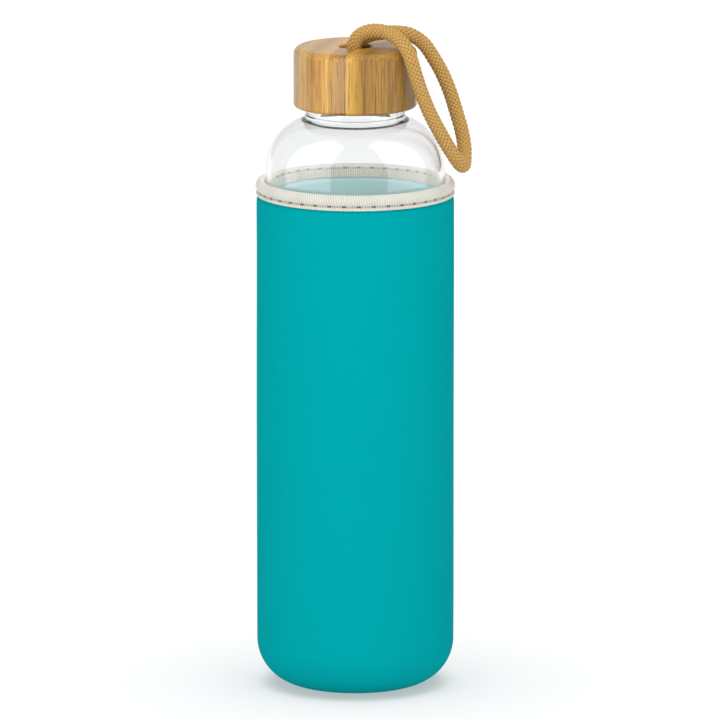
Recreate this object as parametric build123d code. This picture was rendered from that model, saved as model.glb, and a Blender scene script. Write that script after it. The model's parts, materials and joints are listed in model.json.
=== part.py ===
from build123d import *

import os
from math import acos, cos, degrees, pi, radians, sin, sqrt, tan

# Glass water bottle: a borosilicate bottle in a laminated neoprene sleeve, closed by a turned
# bamboo screw lid that carries a braided cord loop.
# Millimetres. The origin is the centre of the sleeve's underside, +Z runs up the bottle's axis,
# and -Y is the side that faces the viewer. The sleeve's sewn seam is at the back, on +Y.

# ---- driving dimensions -------------------------------------------------------------------

# sleeve
SLEEVE_R = 35.75            # outer radius of the side panel
SLEEVE_CORNER = 16.6        # outer radius of the rounded bottom corner
FABRIC = 0.45               # knit face and knit lining, each
FOAM = 2.05                 # neoprene between them
BASE_RISE = 0.1             # the base disc stands this much proud of the side panel
BASE_FACE_R = 16.6          # radius of the base disc's face fabric
BASE_DISC_R = 17.4          # radius of the base disc's foam and lining
BASE_FOAM_TOP = 2.7
BASE_LINING_TOP = 3.2
PANEL_EDGE_R = 17.6         # where the side panel's foam and lining meet the base disc
PANEL_FACE_EDGE_R = 18.4    # where the side panel's face fabric stops, for the base stitches
SLEEVE_TOP = 184.6
SQUEEZE_LOW = 179.4         # the laminate is pinched thinner inside the binding from here ...
SQUEEZE_HIGH = 180.7        # ... to here
SEAM_GROOVE = 3.2           # width of the back seam's stitch groove in the face fabric
SEAM_SLIT = 0.3             # gap between the two butted edges of foam and lining

# binding tape
TAPE = 0.5                  # tape thickness
TAPE_INNER_R = 32.8
TAPE_FLANGE_R = 35.85
TAPE_GROOVE_R = 35.35
TAPE_BULGE_R = 35.9
TAPE_FLANGE_Z = 180.8
TAPE_GROOVE_Z = 182.0
TAPE_BULGE_Z = 184.3
TAPE_TOP_Z = 186.2
TAPE_INSIDE_Z = 180.8
TAPE_INSIDE_RISE = 0.1      # the fold starts this much higher inside than outside
TAPE_LEAN = 0.1             # the outside leg's slope where the fold starts

# stitches
TAPE_STITCHES = 41
TAPE_STITCH_LENGTH = 3.7
TAPE_THREAD_R = 0.19
THREAD_PROUD = 0.1          # how far a tape stitch stands off its groove
THREAD_LIFT = 0.02          # clearance under the seam and base stitches
SEAM_THREAD = 0.36
SEAM_STITCH_INSET = 0.5     # how much shorter a stitch is than the groove is wide
SEAM_STITCHES = 38
SEAM_STITCH_LOW = 24.0
SEAM_STITCH_PITCH = 4.0
SEAM_STITCH_TILT = 28       # degrees from level, alternating
BASE_STITCHES = 36
BASE_STITCH_LENGTH = 1.5

# glass bottle
GLASS_R = 32.5
WALL = 1.8
GLASS_BOTTOM = 3.25
GLASS_CORNER = 13.45
INSIDE_CORNER = 10.0
INSIDE_FLOOR = 7.2
FLOOR_RISE = 1.5            # the inside floor's dome over the punt
PUNT_R = 13.0
PUNT_DEPTH = 2.1
SHOULDER_Z = 189.5          # where the straight wall ends
SHOULDER_R = 20.0           # radius of the domed shoulder
COLLAR_R = 17.9             # plain collar under the thread
COLLAR_TOP = 213.2
COLLAR_CHAMFER = 0.3        # as wide as the collar's step down to the neck
COLLAR_BLEND = 3.0
NECK_R = 17.6               # root of the glass thread
BORE_BLEND = 3.0
RIM_Z = 221.55

# screw thread, a 38 mm single-start finish with 6 turns per inch
PITCH = 25.4 / 6
THREAD_TURNS = 1.25
THREAD_R = 18.7             # crest of the glass thread
THREAD_START_Z = 214.4
THREAD_ROOT_HALF = 1.0
THREAD_CREST_HALF = 0.55
RIB_R = 18.05               # crest of the liner's rib
RIB_ROOT_HALF = 0.75
RIB_CREST_HALF = 0.45
RIB_START = 0.56            # turns after the start of the glass thread
ROOT_BURY = 0.2             # how far a thread's root reaches into its wall

# lid
LID_R = 22.3
LID_BOTTOM = 212.8
LID_TOP = 234.8
LID_TOP_ROUND = 2.8
LID_BOTTOM_ROUND = 1.2
LINER_R = 20.0
LINER_INSIDE_R = 18.95
LINER_BOTTOM = 213.8
LINER_PLATE = 1.2
LINER_TOP = 224.4
GLUE_GAP = 0.1
CHAMBER_R = 10.5            # room for the knot, above the liner
CHAMBER_TOP = 230.8
CORD_HOLE_R = 5.9
CORD_HOLE_ROUND = 0.8
STRIP_ANGLE = -14           # degrees about +Z from the Y direction
STRIP_JOINTS = (-17.4, -11.0, -4.5, 1.9, 8.0, 14.6)

# seal ring
SEAL_INNER_R = 14.3
SEAL_OUTER_R = 18.4
SEAL_BOTTOM = 221.6
SEAL_TOP = 223.15

# cord and knot
CORD_R = 2.65
KNOT_R = 8.0
KNOT_FLAT_R = 5.7
KNOT_BOTTOM = 224.7
KNOT_TOP = 230.3
CORD_ROUTE = (
    (0.0, -2.85, 230.3),
    (0.0, -2.85, 233.8),
    (0.8, -2.9, 237.4),
    (2.7, -3.2, 239.9),
    (6.5, -4.4, 241.3),
    (11.5, -7.3, 241.1),
    (15.1, -11.0, 239.6),
    (18.3, -15.0, 236.9),
    (20.2, -16.3, 232.2),
    (21.7, -15.5, 226.4),
    (24.1, -13.8, 219.0),
    (27.1, -12.0, 211.5),
    (31.1, -9.9, 203.7),
    (35.0, -7.2, 196.6),
    (37.9, -4.2, 192.0),
    (39.3, 0.3, 190.6),
    (39.6, 4.6, 192.9),
    (39.5, 7.3, 197.6),
    (38.3, 9.0, 203.4),
    (36.3, 10.0, 209.8),
    (34.2, 10.2, 216.8),
    (31.2, 10.2, 223.8),
    (27.9, 9.5, 229.6),
    (24.6, 8.0, 234.8),
    (19.6, 4.6, 238.6),
    (13.6, 3.5, 239.2),
    (8.2, 3.2, 239.1),
    (4.3, 3.0, 238.0),
    (1.4, 2.9, 236.4),
    (0.0, 2.85, 233.4),
    (0.0, 2.85, 230.3),
)

SLEEVE_FLAT_R = SLEEVE_R - SLEEVE_CORNER
CORNER_Z = SLEEVE_CORNER + BASE_RISE
LAMINATE = (0.0, FABRIC, FABRIC + FOAM, FABRIC + FOAM + FABRIC)
PINCHED_R = (34.8, 34.45, 33.7, 33.35)     # the same four surfaces inside the binding


# ---- helpers ------------------------------------------------------------------------------

def turned(*outline):
    """Solid of revolution about the bottle's axis from a closed (radius, height) outline."""
    return revolve(Plane.XZ * make_face(outline), Axis.Z)


def polar(center, radius, angle):
    """Point of a circle in the outline plane, at an angle in degrees."""
    return (center[0] + radius * cos(radians(angle)), center[1] + radius * sin(radians(angle)))


def arc(center, radius, start, end):
    """Arc of a circle in the outline plane, between two angles in degrees."""
    return CenterArc(center, radius, start, end - start)


def shoulder_blend(dome_r, neck_r, blend_r):
    """Where a small arc joins the shoulder's dome to the neck: its centre and its lower angle."""
    reach = dome_r + blend_r
    center_r = neck_r + blend_r
    out = center_r - (GLASS_R - SHOULDER_R)
    up = sqrt(reach**2 - out**2)
    angle = Vector(1, 0).get_signed_angle(Vector(out, up), Vector(0, 0, 1))
    return (center_r, SHOULDER_Z + up), angle


def dome_curve(radius, top_angle):
    """The shoulder's round profile, fitted through points of its arc."""
    center = (GLASS_R - SHOULDER_R, SHOULDER_Z)
    points = [polar(center, radius, top_angle * i / 6) for i in range(7)]
    return Spline(points, tangents=((0, 1), (-sin(radians(top_angle)), cos(radians(top_angle)))))


def cap_arc(radius, low, rise):
    """Shallow spherical cap's profile, from the axis out to a radius."""
    sphere_r = (radius**2 + rise**2) / (2 * rise)
    edge_angle = degrees(acos(radius / sphere_r))
    return arc((0, low + rise - sphere_r), sphere_r, 90, edge_angle)


def thread(root_r, crest_r, root_half, crest_half, start_turn):
    """Helical ridge with a trapezoid section, from start_turn along the shared helix."""
    path = Helix(PITCH, PITCH * THREAD_TURNS, root_r)
    section = Plane(origin=path @ 0, x_dir=(1, 0, 0), z_dir=path % 0)
    height = crest_r - root_r
    outline = Polyline(
        (0, -root_half), (height, -crest_half), (height, crest_half), (0, root_half), close=True
    )
    ridge = sweep(section * make_face(outline), path, is_frenet=True)
    return Pos(0, 0, THREAD_START_Z + PITCH * start_turn) * Rot(0, 0, 360 * start_turn) * ridge


def save(name, shape):
    export_step(shape, f"parts/{name}.step")


# ---- sleeve -------------------------------------------------------------------------------

def side_layer(outside, inside, edge_r, slit):
    """One layer of the side panel, wrapped once round with its two edges at the back seam."""
    outer_r = SLEEVE_R - LAMINATE[outside]
    inner_r = SLEEVE_R - LAMINATE[inside]
    outer_corner = SLEEVE_CORNER - LAMINATE[outside]
    inner_corner = SLEEVE_CORNER - LAMINATE[inside]
    corner = (SLEEVE_FLAT_R, CORNER_Z)
    under = BASE_RISE + LAMINATE[outside]
    over = BASE_RISE + LAMINATE[inside]
    wrap = turned(
        Line((edge_r, under), (SLEEVE_FLAT_R, under)),
        arc(corner, outer_corner, -90, 0),
        Polyline(
            (outer_r, CORNER_Z),
            (outer_r, SQUEEZE_LOW),
            (PINCHED_R[outside], SQUEEZE_HIGH),
            (PINCHED_R[outside], SLEEVE_TOP),
            (PINCHED_R[inside], SLEEVE_TOP),
            (PINCHED_R[inside], SQUEEZE_HIGH),
            (inner_r, SQUEEZE_LOW),
            (inner_r, CORNER_Z),
        ),
        arc(corner, inner_corner, 0, -90),
        Polyline((SLEEVE_FLAT_R, over), (edge_r, over), (edge_r, under)),
    )
    return wrap - Pos(0, SLEEVE_R / 2, 0) * Box(slit, SLEEVE_R + 2, 2 * SLEEVE_TOP + 2)


def disc(radius, low, high):
    return Pos(0, 0, (low + high) / 2) * Cylinder(radius, high - low)


def tape():
    """Binding folded over the top edge: an outside leg with a stitch groove, and an inside leg."""
    middle_r = (TAPE_INNER_R + TAPE_BULGE_R) / 2
    crown_out = (middle_r, TAPE_TOP_Z)
    crown_in = (middle_r, TAPE_TOP_Z - TAPE)
    inside_low = TAPE_BULGE_Z + TAPE_INSIDE_RISE
    return turned(
        Polyline(
            (TAPE_FLANGE_R, TAPE_FLANGE_Z),
            (TAPE_GROOVE_R, TAPE_GROOVE_Z),
            (TAPE_BULGE_R, TAPE_BULGE_Z),
        ),
        TangentArc((TAPE_BULGE_R, TAPE_BULGE_Z), crown_out, tangent=(TAPE_LEAN, 1)),
        TangentArc((TAPE_INNER_R, inside_low), crown_out, tangent=(0, 1)),
        Polyline(
            (TAPE_INNER_R, inside_low),
            (TAPE_INNER_R, TAPE_INSIDE_Z),
            (TAPE_INNER_R + TAPE, TAPE_INSIDE_Z),
            (TAPE_INNER_R + TAPE, inside_low),
        ),
        TangentArc((TAPE_INNER_R + TAPE, inside_low), crown_in, tangent=(0, 1)),
        TangentArc((TAPE_BULGE_R - TAPE, TAPE_BULGE_Z), crown_in, tangent=(TAPE_LEAN, 1)),
        Polyline(
            (TAPE_BULGE_R - TAPE, TAPE_BULGE_Z),
            (TAPE_GROOVE_R - TAPE, TAPE_GROOVE_Z),
            (TAPE_FLANGE_R - TAPE, TAPE_FLANGE_Z),
            (TAPE_FLANGE_R, TAPE_FLANGE_Z),
        ),
    )


def tape_stitches():
    """Lockstitch lying in the tape's groove, as short curved threads with gaps between them."""
    thread_r = TAPE_GROOVE_R + TAPE_THREAD_R + THREAD_PROUD
    sweep_angle = 360 * TAPE_STITCH_LENGTH / (2 * pi * thread_r)
    section = Plane.XZ * Pos(thread_r, TAPE_GROOVE_Z) * Circle(TAPE_THREAD_R)
    stitch = revolve(section, Axis.Z, sweep_angle)
    return Compound([Rot(0, 0, i * 360 / TAPE_STITCHES) * stitch for i in range(TAPE_STITCHES)])


def seam_stitches():
    """Flatlock zigzag across the back seam, sunk in the face fabric's groove."""
    depth_y = SLEEVE_R - FABRIC + SEAM_THREAD / 2 + THREAD_LIFT
    bar = Box(SEAM_GROOVE - SEAM_STITCH_INSET, SEAM_THREAD, SEAM_THREAD)
    stitches = []
    for i in range(SEAM_STITCHES):
        tilt = SEAM_STITCH_TILT if i % 2 else -SEAM_STITCH_TILT
        height = SEAM_STITCH_LOW + i * SEAM_STITCH_PITCH
        stitches.append(Pos(0, depth_y, height) * Rot(0, tilt, 0) * bar)
    return Compound(stitches)


def base_stitches():
    """Short stitches that bridge the gap between the base disc's face and the side panel's."""
    radius = (BASE_FACE_R + PANEL_FACE_EDGE_R) / 2
    thread_size = FABRIC - THREAD_PROUD
    bar = Pos(radius, 0, FABRIC / 2 + THREAD_LIFT) * Box(BASE_STITCH_LENGTH, thread_size, thread_size)
    return Compound([Rot(0, 0, i * 360 / BASE_STITCHES) * bar for i in range(BASE_STITCHES)])


# ---- bottle, lid and seal -----------------------------------------------------------------

def glass_bottle():
    foot_corner = (GLASS_R - GLASS_CORNER, GLASS_BOTTOM + GLASS_CORNER)
    inner_r = GLASS_R - WALL
    inside_corner = (inner_r - INSIDE_CORNER, INSIDE_FLOOR + INSIDE_CORNER)
    bore_r = NECK_R - WALL
    collar_center, collar_angle = shoulder_blend(SHOULDER_R, COLLAR_R, COLLAR_BLEND)
    bore_center, bore_angle = shoulder_blend(SHOULDER_R - WALL, bore_r, BORE_BLEND)
    rim_r = WALL / 2
    rim = (NECK_R - rim_r, RIM_Z - rim_r)
    body = turned(
        cap_arc(PUNT_R, GLASS_BOTTOM, PUNT_DEPTH),
        Line((PUNT_R, GLASS_BOTTOM), (foot_corner[0], GLASS_BOTTOM)),
        arc(foot_corner, GLASS_CORNER, -90, 0),
        Line((GLASS_R, foot_corner[1]), (GLASS_R, SHOULDER_Z)),
        dome_curve(SHOULDER_R, collar_angle),
        arc(collar_center, COLLAR_BLEND, collar_angle + 180, 180),
        Polyline(
            (COLLAR_R, collar_center[1]),
            (COLLAR_R, COLLAR_TOP - COLLAR_CHAMFER),
            (NECK_R, COLLAR_TOP),
            (NECK_R, rim[1]),
        ),
        arc(rim, rim_r, 0, 180),
        Line((bore_r, rim[1]), (bore_r, bore_center[1])),
        arc(bore_center, BORE_BLEND, 180, bore_angle + 180),
        dome_curve(SHOULDER_R - WALL, bore_angle),
        Line((inner_r, SHOULDER_Z), (inner_r, inside_corner[1])),
        arc(inside_corner, INSIDE_CORNER, 0, -90),
        cap_arc(inside_corner[0], INSIDE_FLOOR, FLOOR_RISE),
        Line((0, INSIDE_FLOOR + FLOOR_RISE), (0, GLASS_BOTTOM + PUNT_DEPTH)),
    )
    ridge = thread(NECK_R - ROOT_BURY, THREAD_R, THREAD_ROOT_HALF, THREAD_CREST_HALF, 0)
    return body + ridge


def thread_liner():
    """Moulded cup inside the lid, with one rib that runs between the turns of the glass thread."""
    cup = turned(
        Polyline(
            (0, LINER_TOP - LINER_PLATE),
            (LINER_INSIDE_R, LINER_TOP - LINER_PLATE),
            (LINER_INSIDE_R, LINER_BOTTOM),
            (LINER_R, LINER_BOTTOM),
            (LINER_R, LINER_TOP),
            (0, LINER_TOP),
            close=True,
        )
    )
    rib = thread(LINER_INSIDE_R + ROOT_BURY, RIB_R, RIB_ROOT_HALF, RIB_CREST_HALF, RIB_START)
    return cup + Pos(0, 0, -PITCH / 2) * rib


def bamboo_cap():
    """The whole turned cap, before it is divided into its glued strips."""
    bore_r = LINER_R + GLUE_GAP
    top_center = (LID_R - LID_TOP_ROUND, LID_TOP - LID_TOP_ROUND)
    bottom_center = (LID_R - LID_BOTTOM_ROUND, LID_BOTTOM + LID_BOTTOM_ROUND)
    hole_center = (CORD_HOLE_R + CORD_HOLE_ROUND, LID_TOP - CORD_HOLE_ROUND)
    return turned(
        Line((bore_r, LID_BOTTOM), (bottom_center[0], LID_BOTTOM)),
        arc(bottom_center, LID_BOTTOM_ROUND, -90, 0),
        Line((LID_R, bottom_center[1]), (LID_R, top_center[1])),
        arc(top_center, LID_TOP_ROUND, 0, 90),
        Line((top_center[0], LID_TOP), (hole_center[0], LID_TOP)),
        arc(hole_center, CORD_HOLE_ROUND, 90, 180),
        Polyline(
            (CORD_HOLE_R, hole_center[1]),
            (CORD_HOLE_R, CHAMBER_TOP),
            (CHAMBER_R, CHAMBER_TOP),
            (CHAMBER_R, LINER_TOP),
            (bore_r, LINER_TOP),
            (bore_r, LID_BOTTOM),
        ),
    )


def bamboo_strips():
    """The cap cut by vertical glue planes, one solid or pair of solids for each strip."""
    cap = bamboo_cap()
    edges = (-LID_R - 1, *STRIP_JOINTS, LID_R + 1)
    middle_z = (LID_BOTTOM + LID_TOP) / 2
    strips = []
    for low, high in zip(edges, edges[1:]):
        slab = Pos((low + high) / 2, 0, middle_z) * Box(high - low, 3 * LID_R, 2 * LID_R)
        strips.append(cap & Rot(0, 0, STRIP_ANGLE) * slab)
    return strips


def seal_ring():
    height = SEAL_TOP - SEAL_BOTTOM
    ring = Cylinder(SEAL_OUTER_R, height) - Cylinder(SEAL_INNER_R, height)
    return Pos(0, 0, (SEAL_BOTTOM + SEAL_TOP) / 2) * ring


# ---- cord loop ----------------------------------------------------------------------------

def cord_radii():
    """Bend radius at each inner point of the route, as large as its two runs allow."""
    points = [Vector(*point) for point in CORD_ROUTE]
    radii = []
    for before, here, after in zip(points, points[1:], points[2:]):
        arriving = here - before
        leaving = after - here
        half_turn = radians(arriving.get_angle(leaving) / 2)
        radii.append(0.45 * min(arriving.length, leaving.length) / tan(half_turn))
    return radii


def carry_cord():
    path = FilletPolyline(*CORD_ROUTE, radius=cord_radii())
    section = Plane(origin=path @ 0, z_dir=path % 0) * Circle(CORD_R)
    return sweep(section, path), path.length


def cord_knot():
    """Both cord ends tied into one lump, flattened in its chamber under the lid's skin."""
    middle_z = (KNOT_BOTTOM + KNOT_TOP) / 2
    return turned(
        Line((0, KNOT_BOTTOM), (KNOT_FLAT_R, KNOT_BOTTOM)),
        ThreePointArc((KNOT_FLAT_R, KNOT_BOTTOM), (KNOT_R, middle_z), (KNOT_FLAT_R, KNOT_TOP)),
        Polyline((KNOT_FLAT_R, KNOT_TOP), (0, KNOT_TOP), (0, KNOT_BOTTOM)),
    )


# ---- build --------------------------------------------------------------------------------

os.makedirs("parts", exist_ok=True)

save("sleeve_outer_fabric", side_layer(0, 1, PANEL_FACE_EDGE_R, SEAM_GROOVE))
save("sleeve_foam_core", side_layer(1, 2, PANEL_EDGE_R, SEAM_SLIT))
save("sleeve_lining", side_layer(2, 3, PANEL_EDGE_R, SEAM_SLIT))
save("base_fabric", disc(BASE_FACE_R, 0, FABRIC))
save("base_foam", disc(BASE_DISC_R, FABRIC, BASE_FOAM_TOP))
save("base_lining", disc(BASE_DISC_R, BASE_FOAM_TOP, BASE_LINING_TOP))
save("binding_tape", tape())
save("binding_stitches", tape_stitches())
save("side_seam_stitches", seam_stitches())
save("base_seam_stitches", base_stitches())
save("glass_bottle", glass_bottle())
save("thread_liner", thread_liner())
save("seal_ring", seal_ring())
for number, strip in enumerate(bamboo_strips(), start=1):
    save(f"bamboo_strip_{number}", strip)
cord, cord_length = carry_cord()
save("carry_cord", cord)
save("cord_knot", cord_knot())

print("cord bend radii, mm:", [round(radius, 1) for radius in cord_radii()])
print("cord length, mm:", round(cord_length, 1))
print("cord volume against section times length:", cord.volume / (pi * CORD_R**2 * cord_length))
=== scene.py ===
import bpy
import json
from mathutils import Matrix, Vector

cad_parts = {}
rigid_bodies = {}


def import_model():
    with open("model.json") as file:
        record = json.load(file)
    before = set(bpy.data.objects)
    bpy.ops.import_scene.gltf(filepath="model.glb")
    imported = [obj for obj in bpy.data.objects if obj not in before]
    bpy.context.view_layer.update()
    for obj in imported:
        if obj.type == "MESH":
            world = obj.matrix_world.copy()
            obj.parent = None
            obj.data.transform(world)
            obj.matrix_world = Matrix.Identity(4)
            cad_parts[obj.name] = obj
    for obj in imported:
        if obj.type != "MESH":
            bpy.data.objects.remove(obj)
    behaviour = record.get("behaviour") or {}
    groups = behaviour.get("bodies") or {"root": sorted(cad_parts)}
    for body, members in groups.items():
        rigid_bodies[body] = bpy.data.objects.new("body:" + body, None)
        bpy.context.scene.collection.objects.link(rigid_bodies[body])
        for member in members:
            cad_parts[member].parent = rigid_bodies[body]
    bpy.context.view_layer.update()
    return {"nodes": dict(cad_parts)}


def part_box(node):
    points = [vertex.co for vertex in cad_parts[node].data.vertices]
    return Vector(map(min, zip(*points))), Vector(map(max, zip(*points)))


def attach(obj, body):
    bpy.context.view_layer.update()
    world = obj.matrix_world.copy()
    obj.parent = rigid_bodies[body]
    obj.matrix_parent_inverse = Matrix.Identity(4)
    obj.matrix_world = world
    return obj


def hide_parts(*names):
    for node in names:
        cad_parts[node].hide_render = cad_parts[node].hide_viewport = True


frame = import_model()

import json
import math

import bmesh
import bpy
import numpy as np
from mathutils import Vector

# Glass water bottle in a neoprene sleeve, with a bamboo screw lid and a braided cord loop.
# Outlines are (radius, height) pairs in millimetres about the bottle's axis, as in the CAD.
# Everything handed to Blender is in metres.

MM = 0.001
TAU = 2 * math.pi
BACK = math.pi / 2          # angle of the sleeve's back seam, on +Y


def node_range(node):
    """Lowest and highest corner of a CAD node, in millimetres."""
    low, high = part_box(node)
    return low / MM, high / MM


# ---- camera ---------------------------------------------------------------------------------

VIEW_TARGET = Vector((0.0017, 0, 0.1193))
VIEW_DISTANCE = 3.86
VIEW_ELEVATION = math.radians(11.2)
back_off = Vector((0, -math.cos(VIEW_ELEVATION), math.sin(VIEW_ELEVATION)))
camera_data = bpy.data.cameras.new("camera")
camera_data.lens = 532
camera_data.sensor_width = 36
camera_data.clip_start = 0.1
camera_data.clip_end = 30
camera = bpy.data.objects.new("camera", camera_data)
camera.location = VIEW_TARGET + back_off * VIEW_DISTANCE
camera.rotation_mode = "QUATERNION"
camera.rotation_quaternion = (-back_off).to_track_quat("-Z", "Y")
bpy.context.scene.collection.objects.link(camera)
bpy.context.scene.camera = camera


# ---- materials ------------------------------------------------------------------------------

class Paint:
    """A material made of nodes. Sockets given as numbers are set, and as outputs are linked."""

    def __init__(self, name, **sockets):
        self.material = bpy.data.materials.new(name)
        self.material.use_nodes = True
        self.tree = self.material.node_tree
        self.shader = next(n for n in self.tree.nodes if n.type == "BSDF_PRINCIPLED")
        self.set(**sockets)

    def set(self, **sockets):
        for name, value in sockets.items():
            self.feed(self.shader.inputs[name.replace("_", " ")], value)

    def feed(self, socket, value):
        if isinstance(value, bpy.types.NodeSocket):
            self.tree.links.new(value, socket)
        elif socket.type == "RGBA" and len(value) == 3:
            socket.default_value = (*value, 1)
        else:
            socket.default_value = value

    def node(self, kind, values, output=0, **settings):
        made = self.tree.nodes.new("ShaderNode" + kind)
        for name, value in settings.items():
            setattr(made, name, value)
        for key, value in values.items():
            self.feed(made.inputs[key], value)
        return made.outputs[output]

    def place(self):
        """The piece's own coordinates in metres, which are the CAD's at rest."""
        return self.node("TexCoord", {}, output="Object")

    def cloth(self):
        """Millimetres round (x) and along (y) the cloth, from the piece's map."""
        return self.node("UVMap", {}, uv_map="cloth")

    def scaled(self, vector, scale, rotation=(0, 0, 0)):
        return self.node("Mapping", {"Vector": vector, "Scale": scale, "Rotation": rotation})

    def axis(self, vector, which):
        return self.node("SeparateXYZ", {0: vector}, output=which)

    def calc(self, operation, a, b=0.0, clamp=False):
        return self.node("Math", {0: a, 1: b}, operation=operation, use_clamp=clamp)

    def noise(self, vector, scale, detail=3, roughness=0.5):
        values = {"Vector": vector, "Scale": scale, "Detail": detail, "Roughness": roughness}
        return self.node("TexNoise", values)

    def cells(self, vector, scale, output="Distance", randomness=1.0):
        values = {"Vector": vector, "Scale": scale, "Randomness": randomness}
        return self.node("TexVoronoi", values, output=output)

    def span(self, value, low, high, new_low=0.0, new_high=1.0):
        values = {0: value, 1: low, 2: high, 3: new_low, 4: new_high}
        return self.node("MapRange", values, clamp=True)

    def mix(self, factor, a, b, blend="MIX"):
        return self.node("Mix", {0: factor, 6: a, 7: b}, output=2, data_type="RGBA",
                         blend_type=blend)

    def bump(self, height, distance, strength=1.0):
        self.set(Normal=self.node("Bump", {"Height": height, "Distance": distance,
                                           "Strength": strength}))


def srgb(red, green, blue):
    """Linear colour of an sRGB one given from 0 to 255."""
    return tuple(((c / 255 + 0.055) / 1.055) ** 2.4 if c > 10 else c / 3294
                 for c in (red, green, blue))


def knit(name, light, dark, wale, course, fuzz):
    """Jersey: rows of V-shaped loops, wale millimetres wide and course millimetres tall,
    with painted shade in the troughs of the loops.
    """
    paint = Paint(name, Roughness=0.95, Specular_IOR_Level=0.01, Sheen_Weight=fuzz,
                  Sheen_Roughness=0.5, Sheen_Tint=(*light, 1))
    cloth = paint.cloth()
    column = paint.calc("DIVIDE", paint.axis(cloth, 0), wale)
    across = paint.calc("ABSOLUTE", paint.calc("SUBTRACT", paint.calc("FRACT", column), 0.5))
    row = paint.calc("ADD", paint.calc("DIVIDE", paint.axis(cloth, 1), course),
                     paint.calc("MULTIPLY", across, 1.3))
    loop = paint.calc("SINE", paint.calc("MULTIPLY", row, TAU))
    leg = paint.calc("SINE", paint.calc("MULTIPLY", across, TAU))
    height = paint.calc("MULTIPLY", leg, paint.span(loop, -1, 1, 0.45, 1))
    patches = paint.noise(paint.place(), 60, 4)
    # painted shade: the yarn takes the dark colour in the loops' troughs and the light one on
    # their crests
    shade = paint.mix(paint.span(height, 0, 1, 0, 1), dark, light)
    shade = paint.mix(paint.span(patches, 0.35, 0.65, 0, 0.12), shade, light)
    paint.set(Base_Color=shade)
    paint.bump(height, 0.0001, 0.5)
    return paint.material


def foam(name, light, dark):
    paint = Paint(name, Roughness=0.85, Specular_IOR_Level=0.2)
    pores = paint.cells(paint.place(), 2500)
    paint.set(Base_Color=paint.mix(paint.span(pores, 0.1, 0.6), dark, light))
    paint.bump(pores, 0.0002, 0.8)
    return paint.material


def ribbed_tape(name, light, dark, hole_shade, stitches, lines):
    """Woven binding: fine warp yarns, a little soiling, painted shade in the valleys between the
    ribs, and a painted shadow along the stitch lines that is darkest in the needle holes between
    the stitches, whose lines are (outside or in, height in millimetres)."""
    paint = Paint(name, Roughness=0.75, Specular_IOR_Level=0.15, Sheen_Weight=0.15,
                  Sheen_Roughness=0.5)
    cloth = paint.cloth()
    yarn = paint.calc("SINE", paint.calc("MULTIPLY", paint.axis(cloth, 1), TAU / 0.36))
    stain = paint.noise(paint.place(), 140, 4)
    # painted shade: the valleys between the ribs lean toward the dark colour
    low = paint.node("Attribute", {}, output=2, attribute_name="rib_valley_shade")
    shade = paint.mix(paint.span(low, 0, 1, 0, 0.75), light, dark)
    shade = paint.mix(paint.span(stain, 0.4, 0.7, 0, 0.2), shade, dark)
    # Painted shadow along each stitch groove, darkest as painted shade in the needle holes
    # between the stitches.
    place = paint.place()
    flat = paint.node("VectorMath", {0: place, 1: (1, 1, 0)}, operation="MULTIPLY")
    radius = paint.node("VectorMath", {0: flat}, output="Value", operation="LENGTH")
    angle = paint.calc("ARCTAN2", paint.axis(place, 1), paint.axis(place, 0))
    phase = paint.calc("FRACT", paint.calc("ADD", paint.calc("MULTIPLY", angle, stitches / TAU),
                                           stitches + 0.5))
    between = paint.span(paint.calc("ABSOLUTE", paint.calc("SUBTRACT", phase, 0.5)),
                         0.1, 0.17, 1, 0)
    for outside, height in lines:
        off = paint.calc("ABSOLUTE", paint.calc("SUBTRACT", paint.axis(place, 2), height * MM))
        side = paint.span(radius, 34.2 * MM, 34.4 * MM, *((0, 1) if outside else (1, 0)))
        mask = paint.calc("MULTIPLY", paint.span(off, 0.15 * MM, 0.42 * MM, 1, 0), side)
        shade = paint.mix(paint.calc("MULTIPLY", mask, 0.35), shade, dark)
        shade = paint.mix(paint.calc("MULTIPLY", mask, between), shade, hole_shade)
    paint.set(Base_Color=shade)
    paint.bump(yarn, 0.00003, 0.5)
    return paint.material


def spun_thread(name, light, dark):
    paint = Paint(name, Roughness=0.6, Specular_IOR_Level=0.3, Sheen_Weight=0.2)
    fibres = paint.noise(paint.scaled(paint.cloth(), (1.5, 14, 1)), 3, 3)
    paint.set(Base_Color=paint.mix(paint.span(fibres, 0.35, 0.65), dark, light))
    paint.bump(fibres, 0.00004, 0.6)
    return paint.material


def braid_yarn(name, light, middle, dark):
    """Spun yarn of the cord: fine fibres along each strand, uneven dye between strands, and
    painted shade where a strand lies deep in the gaps of the braid.
    """
    paint = Paint(name, Roughness=0.85, Specular_IOR_Level=0.12, Sheen_Weight=0.25,
                  Sheen_Roughness=0.4, Sheen_Tint=(*light, 1))
    cloth = paint.cloth()
    fibres = paint.noise(paint.scaled(cloth, (1.2, 9, 1)), 2.2, 4, 0.6)
    blotch = paint.noise(paint.place(), 900, 3)
    depth = paint.node("Attribute", {}, output=2, attribute_name="outward")
    shade = paint.mix(paint.span(fibres, 0.3, 0.62), middle, light)
    shade = paint.mix(paint.span(blotch, 0.5, 0.75, 0, 0.45), shade, middle)
    # painted shade: the yarn turns to the dark colour where a strand lies deep in the braid's
    # gaps
    shade = paint.mix(paint.span(depth, 0.05, 1.0, 1, 0), shade, dark)
    paint.set(Base_Color=shade)
    paint.bump(fibres, 0.00012, 0.9)
    return paint.material


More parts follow.
